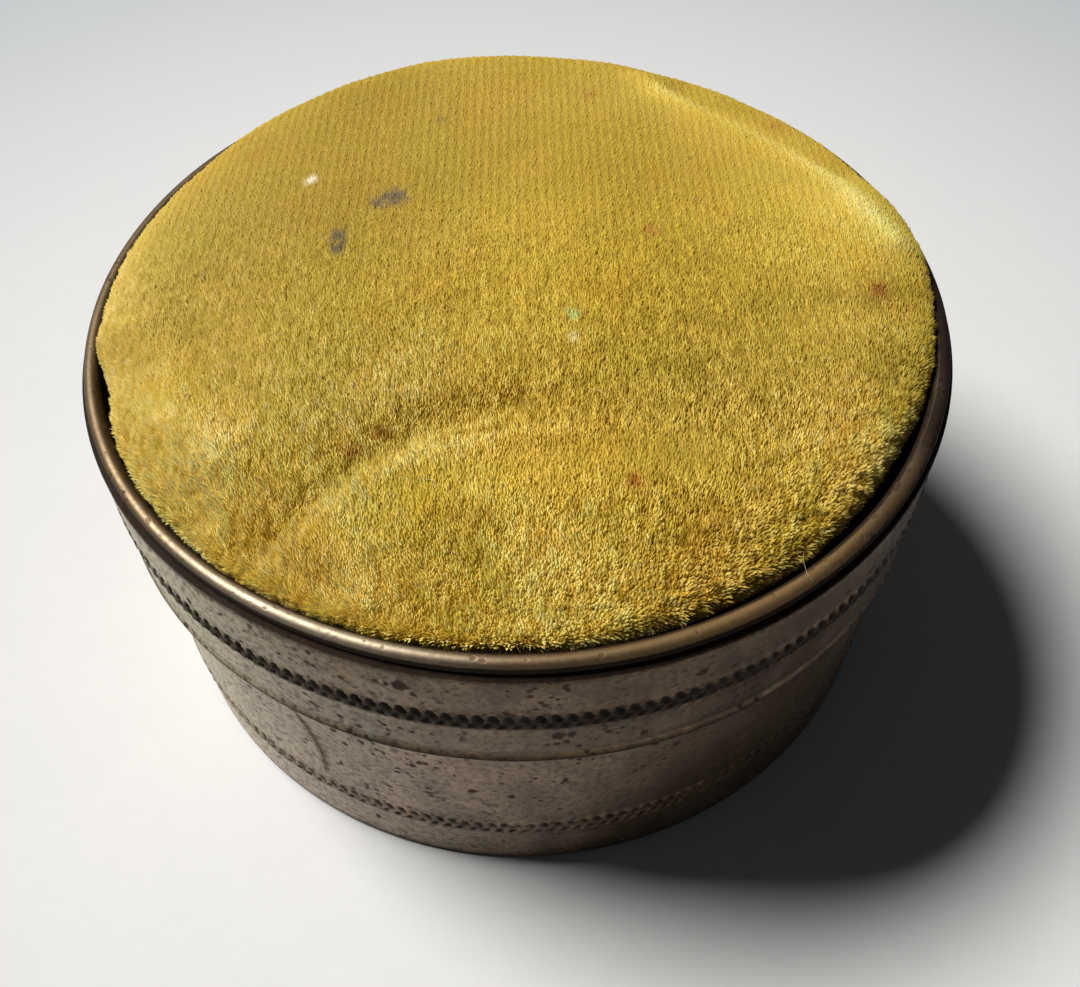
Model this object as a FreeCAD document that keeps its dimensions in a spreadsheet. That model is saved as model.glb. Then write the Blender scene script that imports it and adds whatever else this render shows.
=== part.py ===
"""A violinist's rosin cake in its round slip-lid tin, with a padded velvet top.

The tin stands on its foot ring at Z = 0 and its axis is Z. Every piece is drawn from its own
underside and lifted to its place, so a stack of pieces is a sum of thicknesses.
"""

import FreeCAD, Part
import math
import os

import Sketcher

# The driving dimensions, in millimetres: (name on the sheet, value, what it is).
DIMENSIONS = [
    ("sheet_metal", 0.3, "thickness of the tinned sheet"),
    ("base_radius", 22.1, "outside of the base's wall"),
    ("base_height", 19.6, "foot to the base's rim"),
    ("foot_lift", 0.5, "how far the floor stands above the foot ring"),
    ("foot_width", 0.8, "flat of the foot ring"),
    ("foot_ramp", 0.6, "run of the slope from the foot ring to the floor"),
    ("base_corner", 0.4, "rounding of the base's lower outside edge"),
    ("band_height", 1.4, "height of each knurled band"),
    ("band_proud", 0.08, "how far a knurled band stands out of its wall"),
    ("base_band", 3.7, "foot to the lower edge of the base's band"),
    ("lid_clearance", 0.1, "gap between the base's wall and the lid's skirt"),
    ("lid_depth", 5.9, "lower edge of the lid to the underside of its panel"),
    ("lid_band", 3.1, "lower edge of the lid to the lower edge of its band"),
    ("hem_height", 0.9, "height of the turned hem at the lid's lower edge"),
    ("hem_proud", 0.1, "how far the hem stands out of the skirt"),
    ("bead_tube", 0.5, "radius of the rolled bead's section"),
    ("bead_inset", 0.25, "how far the bead stays behind the skirt's face"),
    ("bead_rise", 1.45, "lid panel to the middle of the bead"),
    ("neck_depth", 0.35, "depth of the neck below the bead"),
    ("neck_height", 0.6, "step below the neck to the middle of the bead"),
    ("paper", 0.2, "thickness of the paper linings"),
    ("card", 0.4, "thickness of the card on the floor"),
    ("lining_gap", 0.05, "room between a lining and the wall beside it"),
    ("lining_drop", 0.6, "base's rim to the upper edge of the paper"),
    ("liner_margin", 0.3, "base's wall to the edge of the paper in the lid"),
    ("cake_radius", 19.4, "rosin cake"),
    ("cake_height", 12.0, "rosin cake"),
    ("cake_rounding", 0.8, "upper edge of the cake"),
    ("cloth_thickness", 0.8, "velvet glued under the cake and up its side"),
    ("cloth_rise", 5.0, "height of the cloth's turned-up side"),
    ("wear_depth", 1.0, "depth of the track that the bow has worn in the cake"),
    ("wear_radius", 30.0, "radius of that track's hollow section"),
    ("board_radius", 20.4, "board under the pad"),
    ("board_thickness", 0.8, "board under the pad"),
    ("wadding_margin", 0.1, "board's edge to the wadding's"),
    ("wadding_side", 1.75, "height of the wadding at its edge"),
    ("wadding_crown", 2.9, "height of the wadding in the middle"),
    ("velvet_radius", 21.1, "velvet over the pad"),
    ("velvet_wall", 0.55, "thickness of the velvet at the pad's edge"),
    ("velvet_tuck", 0.2, "gap between the lid's panel and the velvet's lower edge"),
    ("velvet_side", 3.1, "height of the velvet at its edge"),
    ("velvet_crown", 4.2, "height of the velvet in the middle"),
    ("velvet_rounding", 0.9, "upper edge of the velvet"),
    ("velvet_gap", 0.1, "room between the wadding and the velvet"),
]

doc = FreeCAD.newDocument("rosin_tin")
sheet = doc.addObject("Spreadsheet::Sheet", "dims")


class Size:
    """A length that is known both as a number and as an expression of the sheet's cells."""

    def __init__(self, number, text=None):
        self.number = number
        self.text = text or repr(number)

    def combine(self, other, sign, number):
        other = other if isinstance(other, Size) else Size(other)
        return Size(number(self.number, other.number), f"({self.text} {sign} {other.text})")

    def __add__(self, other):
        return self.combine(other, "+", lambda a, b: a + b)

    def __sub__(self, other):
        return self.combine(other, "-", lambda a, b: a - b)

    def __mul__(self, other):
        return self.combine(other, "*", lambda a, b: a * b)


def fill_sheet():
    """Write the dimensions to the sheet, and return them by name."""
    sizes = {}
    for row, (name, number, meaning) in enumerate(DIMENSIONS, start=1):
        sheet.set(f"A{row}", name)
        sheet.set(f"B{row}", str(number))
        sheet.set(f"C{row}", meaning)
        sheet.setAlias(f"B{row}", name)
        sizes[name] = Size(number, f"dims.{name}")
    doc.recompute()
    return sizes


dim = fill_sheet()
ZERO = Size(0)
metal = dim["sheet_metal"]

# Radii and levels that more than one piece uses.
base_inner = dim["base_radius"] - metal
skirt_inner = dim["base_radius"] + dim["lid_clearance"]
skirt_outer = skirt_inner + metal
floor_level = dim["foot_lift"] + metal
card_level = floor_level + dim["card"]
lid_level = dim["base_height"] - dim["lid_depth"]
panel_level = dim["base_height"] + metal
board_level = panel_level + dim["board_thickness"]


def new_body(name, level):
    """An empty body whose own origin stands at a level of the tin."""
    body = doc.addObject("PartDesign::Body", name)
    body.Label = name
    body.Placement = FreeCAD.Placement(FreeCAD.Vector(0, 0, level.number), FreeCAD.Rotation())
    body.setExpression("Placement.Base.z", level.text)
    return body


def new_sketch(body, name):
    """A sketch on the body's XZ plane: across is the radius and up is the height."""
    sketch = body.newObject("Sketcher::SketchObject", name)
    planes = [plane for plane in body.Origin.OriginFeatures if plane.Role == "XZ_Plane"]
    sketch.AttachmentSupport = [(planes[0], "")]
    sketch.MapMode = "FlatFace"
    return sketch


def pin_point(sketch, curve, end, radius, height):
    """Hold one point of a sketch at a radius and a height."""
    held = (("DistanceX", radius, -2), ("DistanceY", height, -1))
    for kind, size, axis in held:
        if size is ZERO:
            sketch.addConstraint(Sketcher.Constraint("PointOnObject", curve, end, axis))
            continue
        place = sketch.addConstraint(Sketcher.Constraint(kind, -1, 1, curve, end, size.number))
        sketch.setExpression(f"Constraints[{place}]", size.text)


def dome_arc(crown, side):
    """The arc about the axis from the crown, on the axis, down to the side."""
    sagitta = crown.y - side.y
    radius = (side.x ** 2 + sagitta ** 2) / (2 * sagitta)
    centre = FreeCAD.Vector(0, crown.y - radius, 0)
    circle = Part.Circle(centre, FreeCAD.Vector(0, 0, 1), radius)
    return Part.ArcOfCircle(circle, math.atan2(side.y - centre.y, side.x), math.pi / 2)


def draw_outline(sketch, corners, domes=()):
    """Draw a closed outline through corners of (radius, height).

    The sides that start at the corners numbered in domes are arcs centred on the axis.
    """
    places = [FreeCAD.Vector(radius.number, height.number, 0) for radius, height in corners]
    ends = []
    for side, place in enumerate(places):
        following = places[(side + 1) % len(places)]
        if side not in domes:
            sketch.addGeometry(Part.LineSegment(place, following), False)
            ends.append((1, 2))
        elif place.x < following.x:
            sketch.addGeometry(dome_arc(place, following), False)
            ends.append((2, 1))
        else:
            sketch.addGeometry(dome_arc(following, place), False)
            ends.append((1, 2))
    for side, (start, finish) in enumerate(ends):
        after = (side + 1) % len(ends)
        link = Sketcher.Constraint("Coincident", side, finish, after, ends[after][0])
        sketch.addConstraint(link)
        if side in domes:
            sketch.addConstraint(Sketcher.Constraint("PointOnObject", side, 3, -2))
    for side, (radius, height) in enumerate(corners):
        pin_point(sketch, side, ends[side][0], radius, height)


def turn(body, name, sketch):
    """Revolve a sketch once about the tin's axis."""
    feature = body.newObject("PartDesign::Revolution", name)
    feature.Profile = sketch
    feature.ReferenceAxis = (sketch, ["V_Axis"])
    feature.Angle = 360
    sketch.Visibility = False
    doc.recompute()
    return feature


def turned_body(name, level, corners, domes=()):
    """A body made by revolving one outline."""
    body = new_body(name, level)
    sketch = new_sketch(body, name + "_outline")
    draw_outline(sketch, corners, domes)
    turn(body, name + "_turned", sketch)
    return body


def ring_edges(shape, radius, height):
    """Names of the shape's full circles about the axis at a radius and a height."""
    names = []
    for number, edge in enumerate(shape.Edges, start=1):
        if edge.Degenerated or not isinstance(edge.Curve, Part.Circle):
            continue
        curve = edge.Curve
        at_height = abs(curve.Center.z - height.number) < 1e-4
        if at_height and abs(curve.Radius - radius.number) < 1e-4:
            names.append(f"Edge{number}")
    return names


def round_ring(body, name, radius, height, rounding):
    """Round the body's circular edge at a radius and a height."""
    base = body.Tip
    edges = ring_edges(base.Shape, radius, height)
    if not edges:
        raise ValueError(f"{name}: no edge at that radius and height")
    feature = body.newObject("PartDesign::Fillet", name)
    feature.Base = (base, edges)
    feature.Radius = rounding.number
    feature.setExpression("Radius", rounding.text)
    doc.recompute()


def make_base_cup():
    """Drawn base: wall with a knurled band, and a floor lifted above a foot ring."""
    outer = dim["base_radius"]
    foot_inner = outer - dim["base_corner"] - dim["foot_width"]
    ramp_inner = foot_inner - dim["foot_ramp"]
    band_low = dim["base_band"]
    band_high = band_low + dim["band_height"]
    band_outer = outer + dim["band_proud"]
    body = turned_body("base_cup", ZERO, [
        (ZERO, dim["foot_lift"]),
        (ramp_inner, dim["foot_lift"]),
        (foot_inner, ZERO),
        (outer, ZERO),
        (outer, band_low),
        (band_outer, band_low),
        (band_outer, band_high),
        (outer, band_high),
        (outer, dim["base_height"]),
        (base_inner, dim["base_height"]),
        (base_inner, metal),
        (foot_inner, metal),
        (ramp_inner, floor_level),
        (ZERO, floor_level),
    ])
    round_ring(body, "lower_edge", outer, ZERO, dim["base_corner"])
    return body


def make_floor_liner():
    """Card disc on the base's floor."""
    outer = dim["base_radius"] - dim["base_corner"] - dim["foot_width"] - dim["foot_ramp"]
    return turned_body("floor_liner", floor_level, [
        (ZERO, ZERO),
        (outer, ZERO),
        (outer, dim["card"]),
        (ZERO, dim["card"]),
    ])


def make_wall_liner():
    """Paper strip around the inside of the base's wall, standing in the foot ring's gutter."""
    outer = base_inner - dim["lining_gap"]
    inner = outer - dim["paper"]
    height = dim["base_height"] - metal - dim["lining_drop"]
    return turned_body("wall_liner", metal, [
        (inner, ZERO),
        (outer, ZERO),
        (outer, height),
        (inner, height),
    ])


def make_cake_cloth():
    """Velvet glued under the cake and turned up around the lower part of its side."""
    inner = dim["cake_radius"] + dim["lining_gap"]
    outer = inner + dim["cloth_thickness"]
    return turned_body("cake_cloth", card_level, [
        (ZERO, ZERO),
        (outer, ZERO),
        (outer, dim["cloth_rise"]),
        (inner, dim["cloth_rise"]),
        (inner, dim["cloth_thickness"]),
        (ZERO, dim["cloth_thickness"]),
    ])


def make_rosin_cake():
    """Cast cake of rosin with a rounded upper edge and a track worn across its top."""
    radius, height = dim["cake_radius"], dim["cake_height"]
    body = turned_body("rosin_cake", card_level + dim["cloth_thickness"], [
        (ZERO, ZERO),
        (radius, ZERO),
        (radius, height),
        (ZERO, height),
    ])
    round_ring(body, "upper_edge", radius, height, dim["cake_rounding"])
    track = new_sketch(body, "track_section")
    centre_height = height + dim["wear_radius"] - dim["wear_depth"]
    centre = FreeCAD.Vector(0, centre_height.number, 0)
    track.addGeometry(Part.Circle(centre, FreeCAD.Vector(0, 0, 1), dim["wear_radius"].number), False)
    pin_point(track, 0, 3, ZERO, centre_height)
    size = track.addConstraint(Sketcher.Constraint("Radius", 0, dim["wear_radius"].number))
    track.setExpression(f"Constraints[{size}]", dim["wear_radius"].text)
    before = body.Shape.Volume
    cut = body.newObject("PartDesign::Pocket", "bow_track")
    cut.Profile = track
    cut.Midplane = True
    length = radius * 2 + dim["cake_height"]
    cut.Length = length.number
    cut.setExpression("Length", length.text)
    doc.recompute()
    if body.Shape.Volume > 0.99 * before:
        raise ValueError("the bow's track cut nothing")
    return body


def make_lid_shell():
    """Stamped lid: hemmed skirt with a knurled band, neck, rolled bead and sunk panel."""
    outer = skirt_outer
    hem_outer = outer + dim["hem_proud"]
    band_outer = outer + dim["band_proud"]
    band_low = dim["lid_band"]
    band_high = band_low + dim["band_height"]
    panel_low = dim["lid_depth"]
    panel_high = panel_low + metal
    bead_height = panel_high + dim["bead_rise"]
    bead_radius = outer - dim["bead_inset"] - dim["bead_tube"]
    neck_outer = outer - dim["neck_depth"]
    neck_low = bead_height - dim["neck_height"]
    fold_inner = skirt_inner - metal
    body = turned_body("lid_shell", lid_level, [
        (ZERO, panel_low),
        (skirt_inner, panel_low),
        (skirt_inner, ZERO),
        (hem_outer, ZERO),
        (hem_outer, dim["hem_height"]),
        (outer, dim["hem_height"]),
        (outer, band_low),
        (band_outer, band_low),
        (band_outer, band_high),
        (outer, band_high),
        (outer, neck_low),
        (neck_outer, neck_low),
        (neck_outer, bead_height),
        (fold_inner, bead_height),
        (fold_inner, panel_high),
        (ZERO, panel_high),
    ])
    section = new_sketch(body, "bead_section")
    centre = FreeCAD.Vector(bead_radius.number, bead_height.number, 0)
    section.addGeometry(Part.Circle(centre, FreeCAD.Vector(0, 0, 1), dim["bead_tube"].number), False)
    pin_point(section, 0, 3, bead_radius, bead_height)
    size = section.addConstraint(Sketcher.Constraint("Radius", 0, dim["bead_tube"].number))
    section.setExpression(f"Constraints[{size}]", dim["bead_tube"].text)
    turn(body, "bead", section)
    return body


def make_lid_liner():
    """Paper disc glued under the lid's panel."""
    outer = base_inner - dim["liner_margin"]
    return turned_body("lid_liner", dim["base_height"] - dim["paper"], [
        (ZERO, ZERO),
        (outer, ZERO),
        (outer, dim["paper"]),
        (ZERO, dim["paper"]),
    ])


def make_pad_board():
    """Board that stiffens the pad."""
    return turned_body("pad_board", panel_level, [
        (ZERO, ZERO),
        (dim["board_radius"], ZERO),
        (dim["board_radius"], dim["board_thickness"]),
        (ZERO, dim["board_thickness"]),
    ])


def make_pad_wadding():
    """Domed wad of cotton on the board."""
    outer = dim["board_radius"] - dim["wadding_margin"]
    return turned_body("pad_wadding", board_level, [
        (ZERO, ZERO),
        (outer, ZERO),
        (outer, dim["wadding_side"]),
        (ZERO, dim["wadding_crown"]),
    ], domes=(2,))


def make_velvet_cover():
    """Velvet over the wadding, with its edge turned down beside the board."""
    outer = dim["velvet_radius"]
    inner = outer - dim["velvet_wall"]
    lift = dim["board_thickness"] - dim["velvet_tuck"] + dim["velvet_gap"]
    body = turned_body("velvet_cover", panel_level + dim["velvet_tuck"], [
        (ZERO, dim["velvet_crown"]),
        (outer, dim["velvet_side"]),
        (outer, ZERO),
        (inner, ZERO),
        (inner, lift + dim["wadding_side"]),
        (ZERO, lift + dim["wadding_crown"]),
    ], domes=(0, 4))
    round_ring(body, "pad_edge", outer, dim["velvet_side"], dim["velvet_rounding"])
    return body


PIECES = [
    make_base_cup,
    make_floor_liner,
    make_wall_liner,
    make_cake_cloth,
    make_rosin_cake,
    make_lid_shell,
    make_lid_liner,
    make_pad_board,
    make_pad_wadding,
    make_velvet_cover,
]


def export(bodies):
    """Check every object, then write each body to its own STEP file."""
    for thing in doc.Objects:
        if "Invalid" in thing.State or "Error" in thing.State:
            raise ValueError(f"{thing.Name} failed: {thing.State}")
    os.makedirs("parts", exist_ok=True)
    for body in bodies:
        shape = body.Shape
        if shape.isNull() or not shape.isValid() or len(shape.Solids) != 1:
            raise ValueError(f"{body.Label} is not one valid solid")
        shape.exportStep(f"parts/{body.Label}.step")
        box = shape.optimalBoundingBox(False)
        print(f"{body.Label:14s} radius {box.XMax:5.2f}, Z {box.ZMin:5.2f} to {box.ZMax:5.2f},"
              f" {shape.Volume:.1f} mm3")


made = [make() for make in PIECES]
doc.recompute()
export(made)
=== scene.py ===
"""Looks of the rosin cake in its velvet-topped slip-lid tin.

Shapes are worked out in millimetres, with the tin's foot at height 0 and its axis at the origin,
and turned to metres when a mesh is made. Angles run anticlockwise from +X, seen from above, so
-90 degrees is the side that faces the camera.
"""

import math

import bpy
import numpy as np
from mathutils import Matrix, Vector, noise


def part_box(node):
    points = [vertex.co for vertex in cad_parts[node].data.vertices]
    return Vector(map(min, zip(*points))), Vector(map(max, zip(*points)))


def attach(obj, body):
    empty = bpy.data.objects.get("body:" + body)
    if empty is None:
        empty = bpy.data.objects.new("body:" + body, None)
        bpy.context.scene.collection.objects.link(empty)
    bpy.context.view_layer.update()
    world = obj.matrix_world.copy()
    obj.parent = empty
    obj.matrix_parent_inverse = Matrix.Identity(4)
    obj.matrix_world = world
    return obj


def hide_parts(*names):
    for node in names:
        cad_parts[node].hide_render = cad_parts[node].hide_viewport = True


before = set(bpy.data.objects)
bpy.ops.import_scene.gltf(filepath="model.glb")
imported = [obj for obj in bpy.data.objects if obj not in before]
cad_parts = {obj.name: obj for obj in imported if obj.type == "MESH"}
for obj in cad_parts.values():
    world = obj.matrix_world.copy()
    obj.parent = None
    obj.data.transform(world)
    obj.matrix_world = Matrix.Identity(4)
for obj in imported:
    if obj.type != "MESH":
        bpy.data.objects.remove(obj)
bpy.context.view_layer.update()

MM = 0.001
TAU = 2 * math.pi
random = np.random.default_rng(7)


def half_width(node):
    """Half of a CAD node's width, in millimetres."""
    low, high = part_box(node)
    return (high.x - low.x) / 2 / MM


def level(node, top=False):
    """The height of a CAD node's underside or top, in millimetres."""
    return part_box(node)[1 if top else 0].z / MM


# Metal of the base and the lid. The CAD's knurled bands and hem are its widest rings.
SHEET = 0.3
BAND_HEIGHT = 1.4
BAND_PROUD = 0.08
BASE_BAND = 4.4
LID_BAND = 17.5
HEM_PROUD = 0.1
HEM_HEIGHT = 0.9
BEAD_TUBE = 0.43
BEAD_INSET = 0.22
NECK_DEPTH = 0.31
FOOT_LIFT = 0.5
FOOT_WIDTH = 0.8
FOOT_RAMP = 0.6
BASE_CORNER = 0.4
BASE_WALL = half_width("base_cup") - BAND_PROUD
BASE_RIM = level("base_cup", top=True)
SKIRT = half_width("lid_shell") - HEM_PROUD
LID_EDGE = level("lid_shell")
BEAD_TOP = level("lid_shell", top=True)
BEAD_LEVEL = BEAD_TOP - BEAD_TUBE
PANEL_TOP = level("pad_board")

# Knurling: two rows of slanting pits in each band.
LID_PITS = 208
BASE_PITS = 200
STEPS_PER_PIT = 6

# Velvet: a disc cut from cloth, laid over the wadding and turned down inside the bead.
VELVET_CROWN = level("velvet_cover", top=True)
CLOTH_THICKNESS = 0.35
PILE_HEIGHT = 0.15
WEAVE_PITCH = 0.5
CROSS_PITCH = 0.95
ROW_PITCH = 0.1
FIBRE_PITCH = 0.1
PILE_PIECES = 4
FIBRE_LENGTH = 0.42
FIBRE_WIDTHS = (0.065, 0.095)
ROOT_DEPTH = 0.05

# Loose hairs: the one at the gap, from the bead to the pile, and the lint's number and size.
GAP_HAIR = [(12.45, -18.55, 21.92), (12.2, -18.2, 22.1), (12.08, -17.8, 22.4), (12.1, -17.4, 22.6)]
LINT_COUNT = 26
HAIR_RADIUS = 0.011


# ---------------------------------------------------------------- meshes

def make_piece(name, points, faces, smooth_angle=40):
    """A mesh object from points in millimetres; flat-shaded without a smooth angle."""
    mesh = bpy.data.meshes.new(name)
    mesh.from_pydata((np.asarray(points) * MM).tolist(), [], [list(face) for face in faces])
    mesh.update()
    if smooth_angle:
        mesh.shade_smooth()
        mesh.set_sharp_from_angle(angle=math.radians(smooth_angle))
    else:
        mesh.shade_flat()
    piece = bpy.data.objects.new(name, mesh)
    bpy.context.scene.collection.objects.link(piece)
    return piece


def paint(piece, name, values):
    """Store one number, or one colour with alpha, at each point of a mesh."""
    values = np.asarray(values, np.float32)
    kind, key = ("FLOAT", "value") if values.ndim == 1 else ("FLOAT_COLOR", "color")
    attribute = piece.data.attributes.new(name, kind, "POINT")
    attribute.data.foreach_set(key, values.ravel())


def bump_shape(distance):
    """1 at distance 0, falling smoothly to nearly 0 by distance 2."""
    return np.exp(-np.square(distance))


def wrapped(angle):
    """An angle brought to between -pi and pi."""
    return (angle + math.pi) % TAU - math.pi


def from_azimuth(angle, degrees, width):
    """1 at an azimuth in degrees, falling smoothly to nearly 0 twice the width in radians away."""
    return bump_shape(wrapped(angle - math.radians(degrees)) / width)


def soft_noise(places, size, seed=0.0):
    """Smooth noise from -1 to 1 at places in millimetres, with features of about that size."""
    offset = Vector((seed, seed * 0.7, seed * 1.3))
    return np.array([noise.noise(Vector(place) / size + offset) for place in places])


def ring_noise(angle, size, seed):
    """Smooth noise around a circle: size is the angle that one wave takes."""
    spread = 1 / size
    places = np.stack([np.cos(angle) * spread, np.sin(angle) * spread, 0 * angle], -1)
    return soft_noise(places.reshape(-1, 3), 1.0, seed).reshape(np.shape(angle))


def ring_faces(rings, segments):
    """Quads between neighbouring rings of points that are stored ring by ring."""
    faces = []
    for ring in range(rings - 1):
        here, there = ring * segments, (ring + 1) * segments
        for step in range(segments):
            after = (step + 1) % segments
            faces.append((here + step, here + after, there + after, there + step))
    return faces


def capped_rings(rings, segments):
    """Faces of a closed piece: its rings, and a fan to the point at each end, stored last."""
    faces = ring_faces(rings, segments)
    first, last, top = rings * segments, rings * segments + 1, (rings - 1) * segments
    for step in range(segments):
        after = (step + 1) % segments
        faces.append((first, after, step))
        faces.append((last, top + step, top + after))
    return faces


# ---------------------------------------------------------------- metal shells

# Rust marks: (degrees round the tin, height, size).
LID_RUST = [
    (-103.0, 20.0, 0.42), (-101.5, 19.6, 0.3), (-104.6, 19.7, 0.26), (-99.8, 20.1, 0.24),
    (-106.5, 20.1, 0.22), (-97.0, 15.9, 0.3), (-86.0, 16.1, 0.34), (-84.5, 16.3, 0.26),
    (-100.0, 15.3, 0.2), (-70.0, 19.4, 0.3), (-76.0, 15.2, 0.24), (-118.0, 19.2, 0.2),
    (-62.0, 15.6, 0.3), (-45.0, 18.9, 0.35), (-132.0, 18.8, 0.2), (40.0, 19.0, 0.4),
    (95.0, 15.5, 0.35), (150.0, 19.5, 0.3), (205.0, 15.4, 0.3), (120.0, 18.9, 0.25),
]
BASE_RUST = [
    (-73.6, 12.3, 0.24), (-70.6, 11.6, 0.27), (-97.0, 9.0, 0.26), (-99.0, 10.8, 0.18),
    (-92.0, 8.6, 0.2), (-108.0, 11.6, 0.16), (-85.0, 10.3, 0.2), (-60.0, 7.5, 0.3),
    (-90.5, 2.2, 0.2), (-112.0, 2.6, 0.2), (20.0, 9.0, 0.4), (75.0, 6.8, 0.35),
    (130.0, 11.0, 0.3), (170.0, 7.2, 0.35), (215.0, 9.6, 0.25), (50.0, 2.4, 0.3),
]


def straight(*steps):
    """Points along straight runs, without the last one: a point, a spacing, a point and so on."""
    path = []
    for start, spacing, end in zip(steps[:-2:2], steps[1:-1:2], steps[2::2]):
        count = max(1, round(math.dist(start, end) / spacing))
        part = np.linspace(0, 1, count, endpoint=False)[:, None]
        path += list(np.array(start) + part * (np.array(end) - np.array(start)))
    return path


def raised_band(wall, band):
    """The steps of a straight run up a wall over its knurled band."""
    low, high, crest, ramp = band - BAND_HEIGHT / 2, band + BAND_HEIGHT / 2, wall + BAND_PROUD, 0.1
    return [(wall, low - ramp), 0.1, (crest, low + ramp), 0.1,
            (crest, high - ramp), 0.1, (wall, high + ramp)]


def arc(centre, radius, start, end, spacing):
    """Points along an arc in the (radius, height) plane, without its end; angles in degrees."""
    start, end = math.radians(start), math.radians(end)
    count = max(2, round(abs(end - start) * radius / spacing))
    angles = np.linspace(start, end, count, endpoint=False)
    return [np.array(centre) + radius * np.array([math.cos(a), math.sin(a)]) for a in angles]


def lathe(name, outline, segments, push):
    """Revolve an outline that starts and ends on the axis.

    push(angle, radius, height, normal) gives how far each point moves along its normal, how far
    it moves out from the axis, and a dictionary of numbers to paint. Points of the outline are
    (radius, height).
    """
    outline = np.array(outline)
    inner = outline[1:-1]
    ahead, behind = np.roll(inner, -1, 0), np.roll(inner, 1, 0)
    ahead[-1], behind[0] = inner[-1], inner[0]
    along = ahead - behind
    normal = np.stack([along[:, 1], -along[:, 0]], -1)
    normal /= np.linalg.norm(normal, axis=1)[:, None]
    angle = np.arange(segments) / segments * TAU
    angles, radius = np.meshgrid(angle, inner[:, 0])
    height = np.repeat(inner[:, 1:2], segments, 1)
    moved, widened, paints = push(angles, radius, height, normal[:, None, :])
    radius = radius + widened + moved * normal[:, None, 0]
    height = height + moved * normal[:, None, 1]
    points = np.stack([radius * np.cos(angles), radius * np.sin(angles), height], -1).reshape(-1, 3)
    middles = [(0, 0, outline[0, 1]), (0, 0, outline[-1, 1])]
    points = np.vstack([points, middles])
    piece = make_piece(name, points, capped_rings(len(inner), segments))
    for key, values in paints.items():
        paint(piece, key, np.append(values.ravel(), [0, 0]))
    return piece


def knurl(angle, height, pits, band, depth):
    """How deep the slanting pits of a band are at each place: two staggered rows of them."""
    pitch = TAU / pits
    pressed = 0
    for row, slant in ((0.5, 0.34), (-0.5, -0.34)):
        up = (height - band - row * BAND_HEIGHT * 0.5) / (BAND_HEIGHT * 0.27)
        lean = slant * up * 0.5
        across = (angle / pitch + lean + (0.25 if row > 0 else -0.25)) % 1 - 0.5
        wander = 1 + 0.25 * np.sin(angle * 31 + row) * np.sin(angle * 17)
        hollow = np.clip(1 - (across / 0.34) ** 2, 0, 1) * np.clip(1 - up ** 2, 0, 1)
        pressed = np.maximum(pressed, hollow ** 0.7 * wander)
    return depth * pressed, pressed


def dents(angle, height, seed):
    """Slow unevenness of thin sheet that has been handled for years."""
    wave = ring_noise(angle + height * 0.012, 0.55, seed) * 0.6
    return 0.035 * wave + 0.012 * ring_noise(angle - height * 0.03, 0.17, seed + 5)


def band_of_height(height, middle, half):
    """1 in the middle of a band of heights, falling smoothly to 0 past its half height."""
    return np.clip(1.5 - np.abs(height - middle) / half, 0, 1)


def spots(angle, height, marks, radius):
    """The strength at each place of round marks given as (degrees, height, size)."""
    strength = np.zeros_like(height)
    for degrees, middle, size in marks:
        across = wrapped(angle - math.radians(degrees)) * radius
        distance = np.hypot(across, height - middle) / size
        strength = np.maximum(strength, bump_shape(distance ** 1.5))
    return strength


def out_of_round(angle, radius, height):
    """The lid is not quite round: it bulges at the front right and its rim is in at the left."""
    bulge = 0.2 * from_azimuth(angle, -58, 0.5)
    pressed = 0.15 * from_azimuth(angle, -116, 0.42)
    above_base = np.clip((height - BASE_RIM) / 1.0, 0, 1)
    return (bulge - pressed * above_base) * np.clip(radius / SKIRT, 0, 1) ** 12


def strongest(*layers):
    """The strongest of several layers of paint at each place."""
    return np.maximum.reduce(np.broadcast_arrays(*layers))


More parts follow.
